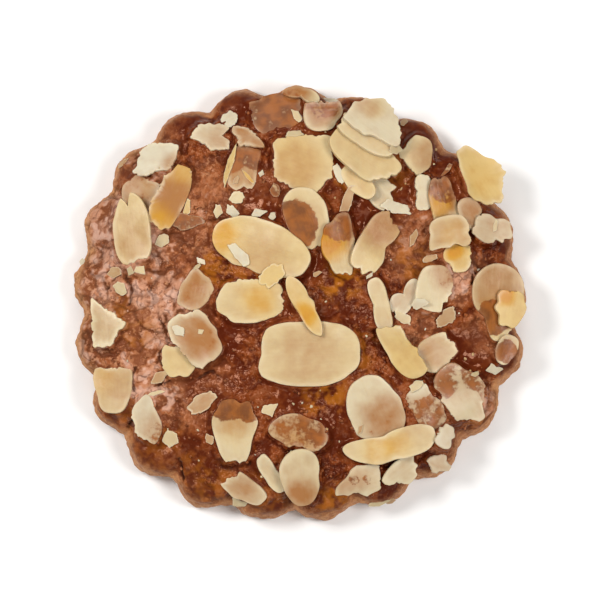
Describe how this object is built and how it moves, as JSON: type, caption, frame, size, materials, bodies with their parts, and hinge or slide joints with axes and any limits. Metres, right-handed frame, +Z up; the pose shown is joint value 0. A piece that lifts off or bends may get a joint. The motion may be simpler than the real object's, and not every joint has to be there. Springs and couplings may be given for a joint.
{
  "type": "speculaas cookie",
  "caption": "Round scalloped spiced cookie, thick and slightly domed, with flaked almonds baked onto its glazed brown top.",
  "frame": {"origin": "middle of the flat underside, at the centre of the cookie's bounding box", "axes": "+Z up through the almond-covered top, +X along the slightly wider way across the cookie"},
  "size_m": [0.1002, 0.0964, 0.0185],
  "materials": {
    "crust": "baked spiced dough, egg-washed and partly glossy on top, crumbly and matte at the side",
    "almond": "sliced blanched almond, toasted, satin"
  },
  "bodies": {
    "root": {"crust": "crust", "flake_01": "almond", "flake_02": "almond", "flake_03": "almond", "flake_04": "almond", "flake_05": "almond", "flake_06": "almond", "flake_07": "almond", "flake_08": "almond", "flake_09": "almond", "flake_10": "almond", "flake_11": "almond", "flake_12": "almond", "flake_13": "almond", "flake_14": "almond", "flake_15": "almond", "flake_16": "almond", "flake_17": "almond", "flake_18": "almond", "flake_19": "almond", "flake_20": "almond", "flake_21": "almond", "flake_22": "almond", "flake_23": "almond", "flake_24": "almond", "flake_25": "almond", "flake_26": "almond", "flake_27": "almond", "flake_28": "almond", "flake_29": "almond", "flake_30": "almond", "flake_31": "almond", "flake_32": "almond", "flake_33": "almond", "flake_34": "almond", "flake_35": "almond", "flake_36": "almond", "flake_37": "almond", "flake_38": "almond", "flake_39": "almond", "flake_40": "almond", "flake_41": "almond", "flake_42": "almond", "flake_43": "almond", "flake_44": "almond", "flake_45": "almond", "flake_46": "almond", "flake_47": "almond", "flake_48": "almond", "flake_49": "almond", "flake_50": "almond", "flake_51": "almond", "flake_52": "almond", "flake_53": "almond", "flake_54": "almond", "flake_55": "almond", "flake_56": "almond", "flake_57": "almond", "flake_58": "almond"}
  },
  "joints": []
}
